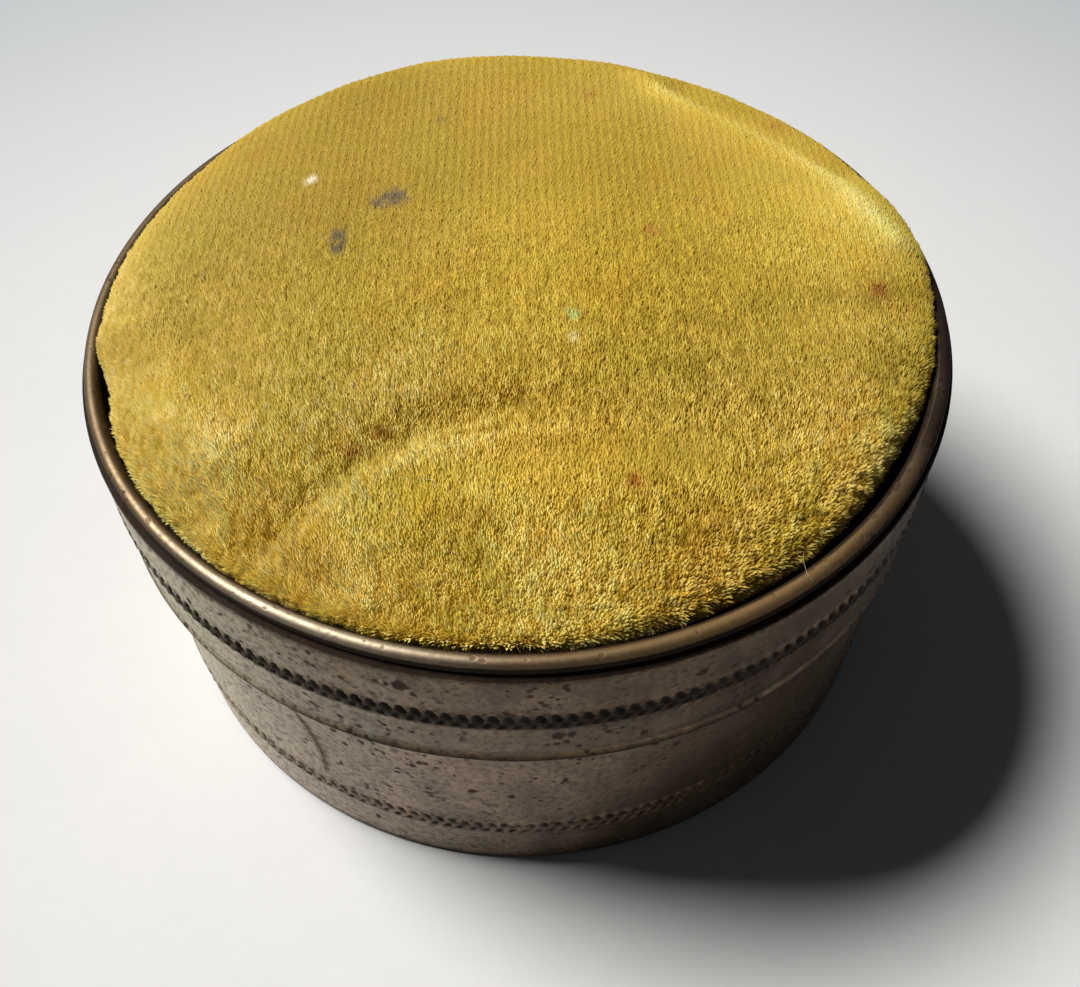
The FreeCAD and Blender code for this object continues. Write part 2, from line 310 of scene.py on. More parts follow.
def lid_push(angle, radius, height, normal):
    """Dents, knurling and paint for the lid, with painted shade, shadow, light and highlight on the
    bead and skirt.
    """
    outside = (normal[..., 0] > 0.5) & (radius > SKIRT - SHEET / 3)
    depth, pressed = knurl(angle, height, LID_PITS, LID_BAND, 0.17)
    uneven = np.where(radius > SKIRT - 2.5 * SHEET, dents(angle, height, 3.0), 0)
    moved = uneven * normal[..., 0]
    moved = moved - np.where(outside, depth, 0)
    rim = radius > SKIRT - BEAD_INSET - 1.6 * BEAD_TUBE
    # Painted shade on the outer lower half of the bead, above the neck.
    shade = np.clip((BEAD_LEVEL + 0.3 - height) / 0.14, 0, 1)
    shade = shade * (radius > SKIRT - BEAD_INSET - BEAD_TUBE)
    shade = shade * np.clip((height - BEAD_LEVEL + 0.6) / 0.3, 0, 1)
    # Painted shade in the well between the bead and the velvet, with painted light at the left, where
    # the lamp reaches in.
    well = (radius < SKIRT - BEAD_INSET - BEAD_TUBE) & (height > BASE_RIM)
    lit_well = 0.5 * from_azimuth(angle, -178, 0.7)
    # Wear on the bead's crest, with a painted highlight at the front left, where the lamp glints on
    # the bead.
    worn = band_of_height(height, BEAD_TOP + 0.05, 0.3) * rim
    worn = worn * (0.08 + 0.65 * from_azimuth(angle, -114, 0.32))
    # Painted shadow: the velvet shades the bead at the right, so the bead is painted dark there and
    # loses its brown.
    shaded = bump_shape((wrapped(angle - math.radians(5)) / 0.88) ** 2)
    shaded = shaded * (0.84 + 0.08 * np.sin(angle * 23))
    # Dark pits and knurled band, with painted shade under the bead, at the hem and in the well, and
    # painted shadow on the bead's right.
    grime_and_shade = strongest(np.clip(pressed * 1.3, 0, 1) * outside,
                      0.62 * band_of_height(height, LID_BAND, 0.6) * outside,
                      0.8 * shade * rim,
                      # Painted shade on the hem's underside.
                      0.8 * band_of_height(height, LID_EDGE + 0.05, 0.26),
                      (0.85 - lit_well) * well * (height < BEAD_LEVEL + 0.3),
                      shaded * rim)
    brown = np.maximum(from_azimuth(angle, -52, 0.7), 0.3)
    brown = brown * rim * (height > BEAD_LEVEL - 0.1) * (1 - shaded)
    # Cleaner metal and painted light on the skirt's front left, the side toward the lamp.
    clean_and_lit = from_azimuth(angle, -147, 0.5) * (height < BEAD_LEVEL - 0.6)
    rust = spots(angle, height, LID_RUST, SKIRT)
    return moved, out_of_round(angle, radius, height), {
        "grime_and_shade": grime_and_shade, "worn": worn, "rust": rust, "brown": brown, "clean_and_lit": clean_and_lit}


def base_push(angle, radius, height, normal):
    """Dents, knurling and paint for the base, with painted shade at the foot and under the lid's edge
    and painted light on the front left.
    """
    outside = (normal[..., 0] > 0.5) & (radius > BASE_WALL - SHEET / 3)
    depth, pressed = knurl(angle, height, BASE_PITS, BASE_BAND, 0.12)
    uneven = np.where(radius > BASE_WALL - 1.5 * SHEET, dents(angle, height, 11.0), 0)
    moved = uneven * normal[..., 0]
    moved = moved - np.where(outside, depth, 0)
    tide = tide_mark(angle, height)
    # Dark pits, knurled band and tide stain, with a painted contact shadow at the foot and painted
    # shade under the lid's edge.
    grime_and_shade = strongest(np.clip(pressed * 0.8, 0, 1) * outside,
                      0.3 * band_of_height(height, BASE_BAND, 0.7) * outside,
                      # Painted contact shadow at the foot.
                      0.7 * band_of_height(height, 0.0, 0.5),
                      0.5 * tide * outside,
                      # Painted shade under the lid's edge.
                      0.45 * band_of_height(height, LID_EDGE - 0.2, 0.4) * outside)
    worn = band_of_height(height, BASE_RIM, 0.25)
    brown = 0.35 * tide
    # Cleaner metal and painted light on the front left, the side toward the lamp.
    clean_and_lit = from_azimuth(angle, -152, 0.5) * outside
    rust = spots(angle, height, BASE_RUST, BASE_WALL)
    return moved, 0, {"grime_and_shade": grime_and_shade, "worn": worn, "rust": rust, "brown": brown, "clean_and_lit": clean_and_lit}


def tide_mark(angle, height):
    """A thin bowed stain down the base's front left; cleaner metal and painted light to its left are
    painted apart from it.
    """
    low, high, degrees = 5.4, 13.2, -120.5
    part = (height - (low + high) / 2) / ((high - low) / 2)
    line = math.radians(degrees) + 0.035 * (1 - part ** 2) - 0.02 * part
    across = wrapped(angle - line) * BASE_WALL
    return bump_shape(across / 0.28) * np.clip(3.2 - 3 * np.abs(part), 0, 1)


def lid_outline():
    """The lid's section, from the underside of its panel round to the panel's top."""
    inner = SKIRT - SHEET
    fold = inner - SHEET
    neck = SKIRT - NECK_DEPTH
    bead = SKIRT - BEAD_INSET - BEAD_TUBE
    neck_meets = BEAD_LEVEL - math.sqrt(BEAD_TUBE ** 2 - (neck - bead) ** 2)
    fold_meets = BEAD_LEVEL - math.sqrt(BEAD_TUBE ** 2 - (fold - bead) ** 2)
    neck_angle = math.degrees(math.atan2(neck_meets - BEAD_LEVEL, neck - bead))
    fold_angle = math.degrees(math.atan2(fold_meets - BEAD_LEVEL, fold - bead)) + 360
    hem, hem_top, hem_round = SKIRT + HEM_PROUD, LID_EDGE + HEM_HEIGHT, 0.3
    lip = (hem - inner) / 2
    shoulder, well_corner = 0.17, 0.12
    shoulder_level = neck_meets - 0.04 - shoulder
    path = straight((0, BASE_RIM), 7.5, (fold, BASE_RIM), 0.15, (inner, BASE_RIM - 0.02), 1.5,
                    (inner, LID_EDGE + lip))
    path += arc((inner + lip, LID_EDGE + lip), lip, 180, 360, 0.1)
    path += arc((hem - hem_round, LID_EDGE + lip), hem_round, 0, 62, 0.1)
    path += straight((SKIRT - 0.05, hem_top - hem_round), 0.15, (SKIRT, hem_top), 0.5,
                     *raised_band(SKIRT, LID_BAND), 0.5, (SKIRT, shoulder_level))
    path += arc((SKIRT - shoulder, shoulder_level), shoulder, 0, 76, 0.08)
    path += arc((bead, BEAD_LEVEL), BEAD_TUBE, neck_angle, fold_angle, 0.11)
    path += straight((fold, fold_meets), 0.25, (fold, PANEL_TOP + well_corner))
    path += arc((fold - well_corner, PANEL_TOP + well_corner), well_corner, 0, -90, 0.1)
    path += straight((fold - well_corner, PANEL_TOP), 7.5, (0, PANEL_TOP))
    return path + [(0, PANEL_TOP)]


def base_outline():
    """The base's section, from the underside of its floor up the wall and down inside."""
    inner = BASE_WALL - SHEET
    corner = BASE_WALL - BASE_CORNER
    foot_inner = corner - FOOT_WIDTH
    ramp = foot_inner - FOOT_RAMP
    floor = FOOT_LIFT + SHEET
    rim = BASE_RIM - SHEET / 2
    bend = 0.1
    path = straight((0, FOOT_LIFT), 7, (ramp, FOOT_LIFT), 0.3, (foot_inner, 0), 0.3, (corner, 0))
    path += arc((corner, BASE_CORNER), BASE_CORNER, -90, 0, 0.1)
    path += straight((BASE_WALL, BASE_CORNER), 0.5, *raised_band(BASE_WALL, BASE_BAND), 0.42,
                     (BASE_WALL, LID_EDGE + 0.3), 1.4, (BASE_WALL, rim))
    path += arc((BASE_WALL - SHEET / 2, rim), SHEET / 2, 0, 180, 0.12)
    path += straight((inner, rim), 3, (inner, SHEET + bend))
    path += arc((inner - bend, SHEET + bend), bend, 0, -90, 0.07)
    path += straight((inner - bend, SHEET), 0.4, (foot_inner, SHEET), 0.4, (ramp, floor), 7,
                     (0, floor))
    return path + [(0, floor)]


# ---------------------------------------------------------------- materials

# Colour of cleaner metal and of painted light on the side toward the lamp.
LIT_CLEAN_METAL = (0.66, 0.56, 0.38)
# Floor colours near the tin and far from it: the darker far colour is a painted falloff of the light.
FLOOR_NEAR = (0.8, 0.795, 0.785)
FLOOR_FAR = (0.395, 0.425, 0.45)


class Graph:
    """A material's node tree, with short names for the nodes that this script uses."""

    def __init__(self, name):
        self.material = bpy.data.materials.new(name)
        self.material.use_nodes = True
        self.tree = self.material.node_tree
        self.shader = self.tree.nodes["Principled BSDF"]
        self.place = self.node("ShaderNodeTexCoord").outputs["Object"]

    def node(self, kind, inputs=(), **settings):
        """A new node, with its inputs and its settings by name."""
        made = self.tree.nodes.new(kind)
        for key, value in settings.items():
            setattr(made, key, value)
        for key, value in dict(inputs).items():
            self.feed(made.inputs[key], value)
        return made

    def feed(self, socket, value):
        """Link another node's output to a socket, or set the socket to a constant."""
        if isinstance(value, bpy.types.NodeSocket):
            self.tree.links.new(value, socket)
        else:
            socket.default_value = value

    def set(self, **values):
        """Feed the shader's sockets by name, with _ for a space; a tuple is an opaque colour."""
        for key, value in values.items():
            if isinstance(value, tuple):
                value = (*value, 1)
            self.feed(self.shader.inputs[key.replace("_", " ")], value)

    def stretched(self, x, y, z):
        """Object coordinates scaled along each axis."""
        inputs = {"Scale": (x, y, z), "Vector": self.place}
        return self.node("ShaderNodeMapping", inputs).outputs["Vector"]

    def noise(self, size, detail=3.0, rough=0.55, distort=0.0, place=None):
        """Noise with features of about size millimetres."""
        inputs = {"Vector": place or self.place, "Scale": 1 / (size * MM), "Detail": detail,
                  "Roughness": rough, "Distortion": distort}
        return self.node("ShaderNodeTexNoise", inputs).outputs["Fac"]

    def cells(self, size):
        """Distance to the nearest of points about size millimetres apart, in cell widths."""
        inputs = {"Vector": self.place, "Scale": 1 / (size * MM)}
        return self.node("ShaderNodeTexVoronoi", inputs).outputs["Distance"]

    def painted(self, name, output="Fac"):
        return self.node("ShaderNodeAttribute", attribute_name=name).outputs[output]

    def between(self, value, low, high, bottom=0.0, top=1.0):
        """Value mapped smoothly from low..high to bottom..top."""
        inputs = {"From Min": low, "From Max": high, "To Min": bottom, "To Max": top, "Value": value}
        made = self.node("ShaderNodeMapRange", inputs, interpolation_type="SMOOTHSTEP")
        return made.outputs["Result"]

    def maths(self, operation, first, second):
        return self.node("ShaderNodeMath", {0: first, 1: second}, operation=operation).outputs[0]

    def times(self, first, second):
        return self.maths("MULTIPLY", first, second)

    def plus(self, first, second):
        return self.maths("ADD", first, second)

    def mix(self, share, first, second, blend="MIX"):
        """A colour between two colours."""
        first, second = [(*part, 1) if isinstance(part, tuple) else part for part in (first, second)]
        made = self.node("ShaderNodeMix", data_type="RGBA", blend_type=blend)
        for socket, value in (("Factor", share), (6, first), (7, second)):
            self.feed(made.inputs[socket], value)
        return made.outputs[2]

    def bump(self, height, distance, strength=1.0):
        """A bump of distance millimetres for a height from 0 to 1."""
        inputs = {"Strength": strength, "Distance": distance * MM, "Height": height}
        self.set(Normal=self.node("ShaderNodeBump", inputs).outputs["Normal"])


def tinned_metal(name, bright, dull):
    """Old tin plate: dulled, mottled, specked with rust, dark in its hollows and in painted shade,
    bright where worn, where clean and in painted highlights and light.
    """
    graph = Graph(name)
    grime_and_shade, worn, rust = graph.painted("grime_and_shade"), graph.painted("worn"), graph.painted("rust")
    clouds = graph.noise(3.2, 4, 0.6, 0.4)
    grain = graph.noise(0.34, 4, 0.7)
    streak = graph.noise(0.9, 3, 0.6, place=graph.stretched(1, 1, 0.16))
    patch = graph.between(graph.noise(4.5, 3), 0.42, 0.62)
    metal = graph.mix(graph.between(clouds, 0.3, 0.7), dull, bright)
    metal = graph.mix(graph.between(streak, 0.5, 0.72, 0.0, 0.3), metal, (0.26, 0.22, 0.17))
    # Cleaner metal and painted light on the front left.
    metal = graph.mix(graph.times(graph.painted("clean_and_lit"), 0.8), metal, LIT_CLEAN_METAL)
    metal = graph.mix(graph.between(grain, 0.42, 0.68, 0.0, 0.75), metal, (0.06, 0.042, 0.028))
    cells = graph.cells(0.5)
    size = graph.times(graph.between(graph.noise(1.3, 3), 0.38, 0.7), 0.42)
    speck = graph.between(graph.maths("SUBTRACT", cells, size), 0.1, -0.12)
    speck = graph.times(speck, graph.between(patch, 0.0, 1.0, 0.35, 0.9))
    edge = graph.noise(0.22, 3, 0.75)
    blot = graph.between(graph.plus(rust, graph.times(edge, 0.9)), 0.75, 1.1)
    spotted = graph.maths("MAXIMUM", speck, blot)
    # Worn tin on the rims; on the lid's bead it is also a painted highlight.
    metal = graph.mix(worn, metal, (0.62, 0.55, 0.42))
    metal = graph.mix(graph.painted("brown"), metal, (0.3, 0.19, 0.08))
    metal = graph.mix(spotted, metal, (0.07, 0.034, 0.022))
    # Dark grime, and painted shade and shadow where the masks put them.
    dirt_and_shade = graph.between(graph.plus(grime_and_shade, graph.times(grain, 0.3)), 0.2, 1.0)
    colour = graph.mix(dirt_and_shade, metal, (0.022, 0.013, 0.009))
    covered = graph.maths("MAXIMUM", spotted, dirt_and_shade)
    graph.set(Base_Color=colour)
    graph.set(Metallic=graph.between(covered, 0.1, 0.9, 0.95, 0.2))
    rough = graph.plus(graph.between(grain, 0.3, 0.8, 0.36, 0.52), graph.times(covered, 0.35))
    rough = graph.plus(rough, graph.times(graph.painted("brown"), 0.22))
    graph.set(Roughness=graph.plus(rough, graph.times(worn, 0.06)))
    graph.set(Specular_IOR_Level=0.12)
    surface = graph.maths("SUBTRACT", graph.times(grain, 0.5), spotted)
    graph.bump(surface, 0.03, 0.7)
    return graph.material


def velvet_ground(name, deep, light):
    """The woven ground under the pile."""
    graph = Graph(name)
    weave = graph.noise(0.22, 3, 0.7, place=graph.stretched(1, 0.5, 1))
    clouds = graph.noise(3.5, 3)
    colour = graph.mix(graph.between(weave, 0.35, 0.65), deep, light)
    colour = graph.mix(graph.between(clouds, 0.4, 0.7, 0.0, 0.5), colour, deep)
    graph.set(Base_Color=colour, Roughness=0.95, Sheen_Weight=0.25)
    graph.bump(weave, 0.12)
    return graph.material


def velvet_pile(name):
    """Cut pile: the colour of each fibre is painted, and slow noise turns parts of it olive."""
    graph = Graph(name)
    tone = graph.painted("tone", "Color")
    olive = graph.between(graph.noise(6.0, 3, 0.6), 0.4, 0.66, 0.0, 0.4)
    colour = graph.mix(olive, tone, graph.mix(1.0, tone, (0.86, 0.96, 0.6), "MULTIPLY"))
    orange = graph.between(graph.noise(4.2, 3, 0.6, 0.4), 0.48, 0.68, 0.0, 0.34)
    colour = graph.mix(orange, colour, graph.mix(1.0, colour, (1.0, 0.86, 0.5), "MULTIPLY"))
    graph.set(Base_Color=colour, Roughness=0.7, Sheen_Weight=0.12, Sheen_Roughness=0.4)
    graph.set(Sheen_Tint=(1.0, 0.86, 0.5), Specular_IOR_Level=0.25)
    return graph.material


def rosin_amber(name):
    """Amber rosin: clear and deep in the body, chalky where the bow has worn it."""
    graph = Graph(name)
    dust = graph.painted("dust")
    clouds = graph.noise(4.0, 4, 0.6, 0.8)
    fine = graph.noise(0.25, 3, 0.7)
    amber = graph.mix(graph.between(clouds, 0.35, 0.65), (0.2, 0.045, 0.006), (0.5, 0.17, 0.02))
    powder = graph.between(graph.plus(dust, graph.times(fine, 0.6)), 0.45, 1.2)
    graph.set(Base_Color=graph.mix(powder, amber, (0.78, 0.66, 0.42)))
    graph.set(Roughness=graph.between(powder, 0.0, 0.6, 0.12, 0.7))
    graph.set(Transmission_Weight=graph.between(powder, 0.0, 0.5, 0.35, 0.0))
    graph.set(IOR=1.53)
    graph.bump(graph.plus(fine, clouds), 0.05, 0.5)
    return graph.material


def pulp(name, colour, fleck, size):
    """Paper or card: fibres, foxing and flecks."""
    graph = Graph(name)
    fibre = graph.noise(size, 4, 0.75, 0.6, place=graph.stretched(1, 0.45, 1))
    fox = graph.between(graph.noise(2.6, 3), 0.55, 0.75, 0.0, 0.6)
    cloud = graph.noise(9.0, 2)
    base = graph.mix(graph.between(fibre, 0.4, 0.68), colour, fleck)
    base = graph.mix(graph.between(cloud, 0.4, 0.7, 0.0, 0.35), base, fleck)
    base = graph.mix(fox, base, (0.3, 0.17, 0.07))
    graph.set(Base_Color=base, Roughness=0.9)
    graph.bump(fibre, 0.04)
    return graph.material


def cotton(name):
    """Loose cotton wadding."""
    graph = Graph(name)
    fibre = graph.noise(0.4, 5, 0.75, 1.5)
    colour = graph.mix(graph.between(fibre, 0.35, 0.7), (0.55, 0.47, 0.32), (0.85, 0.8, 0.68))
    graph.set(Base_Color=colour, Roughness=1.0, Sheen_Weight=0.3)
    graph.bump(fibre, 0.25)
    return graph.material


def hair(name):
    """Fine hairs, paler in places."""
    graph = Graph(name)
    clouds = graph.between(graph.noise(1.5), 0.4, 0.6)
    graph.set(Base_Color=graph.mix(clouds, (0.6, 0.46, 0.22), (0.8, 0.7, 0.46)), Roughness=0.6)
    return graph.material


def pale_floor(name):
    """Matt pale paper, a little darker far from the tin: painted falloff of the light."""
    graph = Graph(name)
    grain = graph.noise(1.2, 4, 0.65)
    mottle = graph.noise(9.0, 3)
    away = graph.node("ShaderNodeVectorMath", operation="LENGTH")
    graph.feed(away.inputs[0], graph.place)
    # Painted falloff of the light: darker away from the tin.
    colour = graph.mix(graph.between(away.outputs["Value"], 0.01, 0.125), FLOOR_NEAR, FLOOR_FAR)
    colour = graph.mix(graph.between(grain, 0.35, 0.65, 0.05, 0.0), colour, (0.55, 0.56, 0.6))
    colour = graph.mix(graph.between(mottle, 0.4, 0.65, 0.06, 0.0), colour, (0.6, 0.62, 0.66))
    graph.set(Base_Color=colour, Roughness=0.85, Specular_IOR_Level=0.2)
    graph.bump(grain, 0.03, 0.4)
    return graph.material



# ---------------------------------------------------------------- velvet over the pad

AZIMUTHS = 420
RINGS = 110
FINE = 400
EDGE_POWER = 20
SHOULDER_POWER = 2.1
DOME = 0.95

# How the velvet's edge lies, by azimuth in degrees: radius of the edge, height of its lowest
# point, height from there to the pad's shoulder, and how far the side bulges out above the bead.
EDGE_LIE = [
    (-175, 21.4, 21.8, 1.0, 0.0),
    (-150, 21.25, 21.0, 1.4, 0.2),
    (-120, 21.2, 21.0, 1.3, 0.35),
    (-90, 21.15, 20.9, 1.4, 0.35),
    (-60, 20.95, 20.5, 1.9, 0.2),
    (-35, 20.8, 20.3, 2.35, 0.15),
    (-14, 21.1, 20.6, 2.5, 0.6),
    (8, 21.15, 20.9, 2.45, 1.1),
    (28, 21.15, 20.9, 2.35, 0.7),
    (50, 21.1, 20.8, 2.4, 0.5),
    (75, 21.05, 20.6, 3.1, 0.5),
    (105, 21.05, 20.6, 3.5, 0.55),
    (130, 21.05, 20.7, 3.0, 0.4),
    (160, 21.2, 21.3, 1.75, 0.2),
]

# Strokes on the pad: points in millimetres from its middle, width, and rise (negative: crease).
CREASE = [(-11.6, -17.6), (-9.3, -15.2), (-7.2, -13.2), (-3.9, -11.2), (-0.5, -10.2)]
RIDGE = [(-11.5, -18.3), (-8.4, -15.9), (-5.8, -13.9), (-1.0, -12.2), (2.5, -11.7)]
STROKES = [
    (CREASE, 1.1, -0.27),
    (RIDGE, 1.2, 0.13),
    ([(-9.6, -20.3), (-6.6, -19.4)], 0.8, 0.3),
    ([(-17.6, -12.0), (-14.6, -15.8), (-11.6, -18.0)], 0.9, 0.22),
    ([(-18.8, -4.0), (-16.0, -9.6), (-13.5, -12.0)], 1.4, 0.28),
    ([(7.7, 16.6), (10.8, 12.1), (14.6, 8.6), (18.2, 5.8), (20.0, 1.8)], 1.1, 0.3),
    ([(10.2, 15.6), (14.5, 11.4), (18.6, 8.0)], 1.2, -0.25),
    ([(13.0, -4.6), (18.0, -4.0), (20.2, -2.6)], 1.3, -0.16),
]


def lie_at(angle):
    """The edge's radius, lowest height, side height and bulge at each azimuth."""
    table = np.array(sorted(EDGE_LIE), float)
    known = np.radians(np.concatenate([table[-1:, 0] - 360, table[:, 0], table[:1, 0] + 360]))
    rows = np.vstack([table[-1:], table, table[:1]])
    where = wrapped(angle)
    step = np.clip(np.searchsorted(known, where) - 1, 0, len(known) - 2)
    part = (where - known[step]) / (known[step + 1] - known[step])
    part = part * part * (3 - 2 * part)
    lie = rows[step, 1:] + (rows[step + 1, 1:] - rows[step, 1:]) * part[..., None]
    radius, low, side, bulge = np.moveaxis(lie, -1, 0)
    radius = radius + 0.05 * ring_noise(angle, 0.12, 21.0) + 0.03 * ring_noise(angle, 0.04, 22.0)
    corner, bite = 0.16 * from_azimuth(angle, -171, 0.05), 0.3 * from_azimuth(angle, -162, 0.09)
    radius = radius + corner - bite
    return radius, low, side, bulge


def profile_table():
    """Radius and height of the pad's section at even steps along the cloth, for each azimuth."""
    angles = np.arange(AZIMUTHS) / AZIMUTHS * TAU
    edge, low, side, bulge = lie_at(angles)
    part = 1 - (1 - np.linspace(0, 1, FINE)) ** 4
    radius = edge[:, None] * part
    shoulder = np.clip(1 - part ** EDGE_POWER, 0, 1) ** (1 / SHOULDER_POWER)
    highest = VELVET_CROWN - DOME + 0.08
    droop = (low + side - highest)[:, None] * part ** 5
    height = low[:, None] + (highest - low)[:, None] * shoulder
    height = height + droop * shoulder + DOME * (1 - part ** 2)
    climb = np.clip((height - low[:, None]) / side[:, None], 0, 1)
    radius = radius + bulge[:, None] * np.sin(math.pi * climb ** 1.8) * part ** 6
    step = np.hypot(np.diff(radius, axis=1), np.diff(height, axis=1))
    along = np.concatenate([np.zeros((AZIMUTHS, 1)), np.cumsum(step, axis=1)], axis=1)
    even = np.linspace(0, 1, RINGS + 1)
    table = np.zeros((AZIMUTHS, RINGS + 1, 2))
    for row in range(AZIMUTHS):
        share = along[row] / along[row, -1]
        table[row, :, 0] = np.interp(even, share, radius[row])
        table[row, :, 1] = np.interp(even, share, height[row])
    return table, along[:, -1]


PROFILE, CLOTH_REACH = profile_table()


def along_path(x, y, points, width):
    """1 on a path through the points, falling smoothly to 0 at about twice the width from it."""
    nearest = np.full(x.shape, 1e9)
    for (x0, y0), (x1, y1) in zip(points, points[1:]):
        dx, dy = x1 - x0, y1 - y0
        part = np.clip(((x - x0) * dx + (y - y0) * dy) / (dx * dx + dy * dy), 0, 1)
        nearest = np.minimum(nearest, np.hypot(x - x0 - part * dx, y - y0 - part * dy))
    return bump_shape(nearest / width)


def stroke_rise(x, y):
    """How far the strokes lift or sink the velvet at each place."""
    rise = np.zeros_like(x)
    for points, width, height in STROKES:
        rise = rise + height * along_path(x, y, points, width)
    return rise


LUMP_GRID = 45
LUMP_STEP = 1.0


def lump_table():
    """Slow unevenness of the wadding on a square grid, a millimetre apart."""
    places = (np.arange(LUMP_GRID) - LUMP_GRID // 2) * LUMP_STEP
    x, y = np.meshgrid(places, places, indexing="ij")
    grid = np.stack([x.ravel(), y.ravel(), 0 * x.ravel()], -1)
    lumps = 0.16 * soft_noise(grid, 7.0, 31.0) + 0.07 * soft_noise(grid, 3.0, 32.0)
    return lumps.reshape(LUMP_GRID, LUMP_GRID)


LUMPS = lump_table()


def blend_cells(table, i, j, u, v):
    """Blend the four neighbours of cell i, j of a square table that repeats, by shares u and v."""
    size = len(table)
    i, j, next_i, next_j = i % size, j % size, (i + 1) % size, (j + 1) % size
    low = table[i, j] * (1 - u) + table[next_i, j] * u
    high = table[i, next_j] * (1 - u) + table[next_i, next_j] * u
    return low * (1 - v) + high * v


def lump_rise(x, y):
    """Interpolate the lump table."""
    across = np.clip(x / LUMP_STEP + LUMP_GRID // 2, 0, LUMP_GRID - 1.001)
    up = np.clip(y / LUMP_STEP + LUMP_GRID // 2, 0, LUMP_GRID - 1.001)
    i, j = across.astype(int), up.astype(int)
    return blend_cells(LUMPS, i, j, across - i, up - j)


def drape(share, angle):
    """Points of the velvet's ground: share of the way from its middle to its edge, and azimuth."""
    along = np.clip(share, 0, 1) * RINGS
    around = (angle / TAU % 1) * AZIMUTHS
    i, j = np.minimum(along.astype(int), RINGS - 1), around.astype(int) % AZIMUTHS
    u, v = (along - i)[..., None], (around - np.floor(around))[..., None]
    after = (j + 1) % AZIMUTHS
    near = PROFILE[j, i] * (1 - u) + PROFILE[j, i + 1] * u
    far = PROFILE[after, i] * (1 - u) + PROFILE[after, i + 1] * u
    section = near * (1 - v) + far * v
    radius, height = section[..., 0], section[..., 1]
    x, y = radius * np.cos(angle), radius * np.sin(angle)
    fade = np.clip((1 - share) / 0.1, 0.12, 1)
    height = height + (stroke_rise(x, y) + lump_rise(x, y)) * fade
    return np.stack([x, y, height], -1)


def drape_frame(share, angle):
    """Place and outward normal of the velvet's ground."""
    small = 0.004
    place = drape(share, angle)
    outward = drape(share + small, angle) - drape(share - small, angle)
    turn = small / np.maximum(share, 0.05)
    sideways = drape(share, angle + turn) - drape(share, angle - turn)
    normal = np.cross(outward, sideways)
    normal /= np.linalg.norm(normal, axis=-1, keepdims=True) + 1e-12
    return place, normal


def make_velvet_cover():
    """The velvet's cloth: a closed sheet over the wadding, turned down at its edge."""
    angle = np.arange(AZIMUTHS) / AZIMUTHS * TAU
    shares = np.linspace(1, RINGS, RINGS) / RINGS
    angles, share = np.meshgrid(angle, shares)
    top, normal = drape_frame(np.minimum(share, 0.995), angles)
    inside = top - normal * CLOTH_THICKNESS
    middle, _ = drape_frame(np.array([0.0]), np.array([0.0]))
    points = np.vstack([top.reshape(-1, 3), inside[::-1].reshape(-1, 3),
                        middle, middle - [0, 0, CLOTH_THICKNESS]])
    faces = [face[::-1] for face in capped_rings(2 * RINGS, AZIMUTHS)]
    return make_piece("velvet", points, faces, smooth_angle=70)


# Marks on the pile: x, y, radius, colour and strength.
STAINS = [
    (-6.4, 5.1, 0.75, (0.13, 0.105, 0.09), 0.8),
    (-7.3, 4.7, 0.5, (0.15, 0.12, 0.1), 0.7),
    (-9.2, 2.1, 0.55, (0.13, 0.105, 0.09), 0.8),
    (-9.1, 1.0, 0.5, (0.12, 0.1, 0.085), 0.8),
    (-11.2, 7.1, 0.36, (1.0, 0.9, 0.66), 0.95),
    (2.8, -4.4, 0.32, (0.56, 0.74, 0.26), 0.85),
    (2.7, -6.0, 0.3, (1.0, 0.86, 0.4), 0.85),
    (18.2, -2.3, 0.6, (0.42, 0.13, 0.02), 0.8),
    (5.1, -14.3, 0.42, (0.5, 0.15, 0.02), 0.8),
    (7.1, 1.8, 0.45, (0.5, 0.2, 0.03), 0.7),
    (4.5, 14.9, 0.5, (0.5, 0.24, 0.04), 0.6),
    (-4.2, 12.4, 0.32, (0.24, 0.19, 0.06), 0.7),
    (-14.8, 10.2, 0.8, (0.5, 0.27, 0.04), 0.5),
    (15.4, 12.6, 0.7, (0.55, 0.28, 0.05), 0.5),
    (-7.3, -12.3, 0.4, (0.5, 0.2, 0.03), 0.6),
    (-6.1, -11.5, 0.35, (0.5, 0.2, 0.03), 0.6),
    (-3.8, -15.6, 0.35, (0.5, 0.2, 0.03), 0.35),
    (-8.8, -17.2, 1.7, (0.82, 0.58, 0.045), 0.45),
    (-4.5, -14.9, 2.1, (0.82, 0.59, 0.045), 0.4),
    (1.0, -13.8, 2.2, (0.9, 0.6, 0.06), 0.15),
]

# Paler or darker areas of the pile: x, y, radius, and change of tone.
PATCHES = [
    (-18.3, -8.0, 2.4, 0.08),
    (-18.4, -4.6, 2.4, -0.14),
    (-14.0, -12.5, 2.6, 0.34),
    (-13.5, -16.6, 2.2, 0.2),
    (-7.0, -18.8, 3.0, 0.28),
    (1.8, -19.0, 4.2, 0.28),
    (17.6, -11.4, 2.4, 0.32),
    (14.2, -12.8, 2.6, 0.16),
    (18.6, 2.4, 3.8, 0.22),
    (16.2, 8.6, 4.6, 0.17),
    (9.8, 14.6, 2.6, 0.12),
    (-9.0, 14.8, 5.0, -0.13),
    (-9.5, 2.5, 7.0, -0.16),
    (0.0, 3.0, 4.0, 0.05),
    (7.4, 1.0, 5.0, -0.1),
    (8.5, -8.0, 5.0, -0.19),
    (1.8, -11.6, 3.0, -0.1),
    (6.5, -16.0, 3.4, -0.14),
    (-15.5, 0.0, 3.5, -0.05),
]

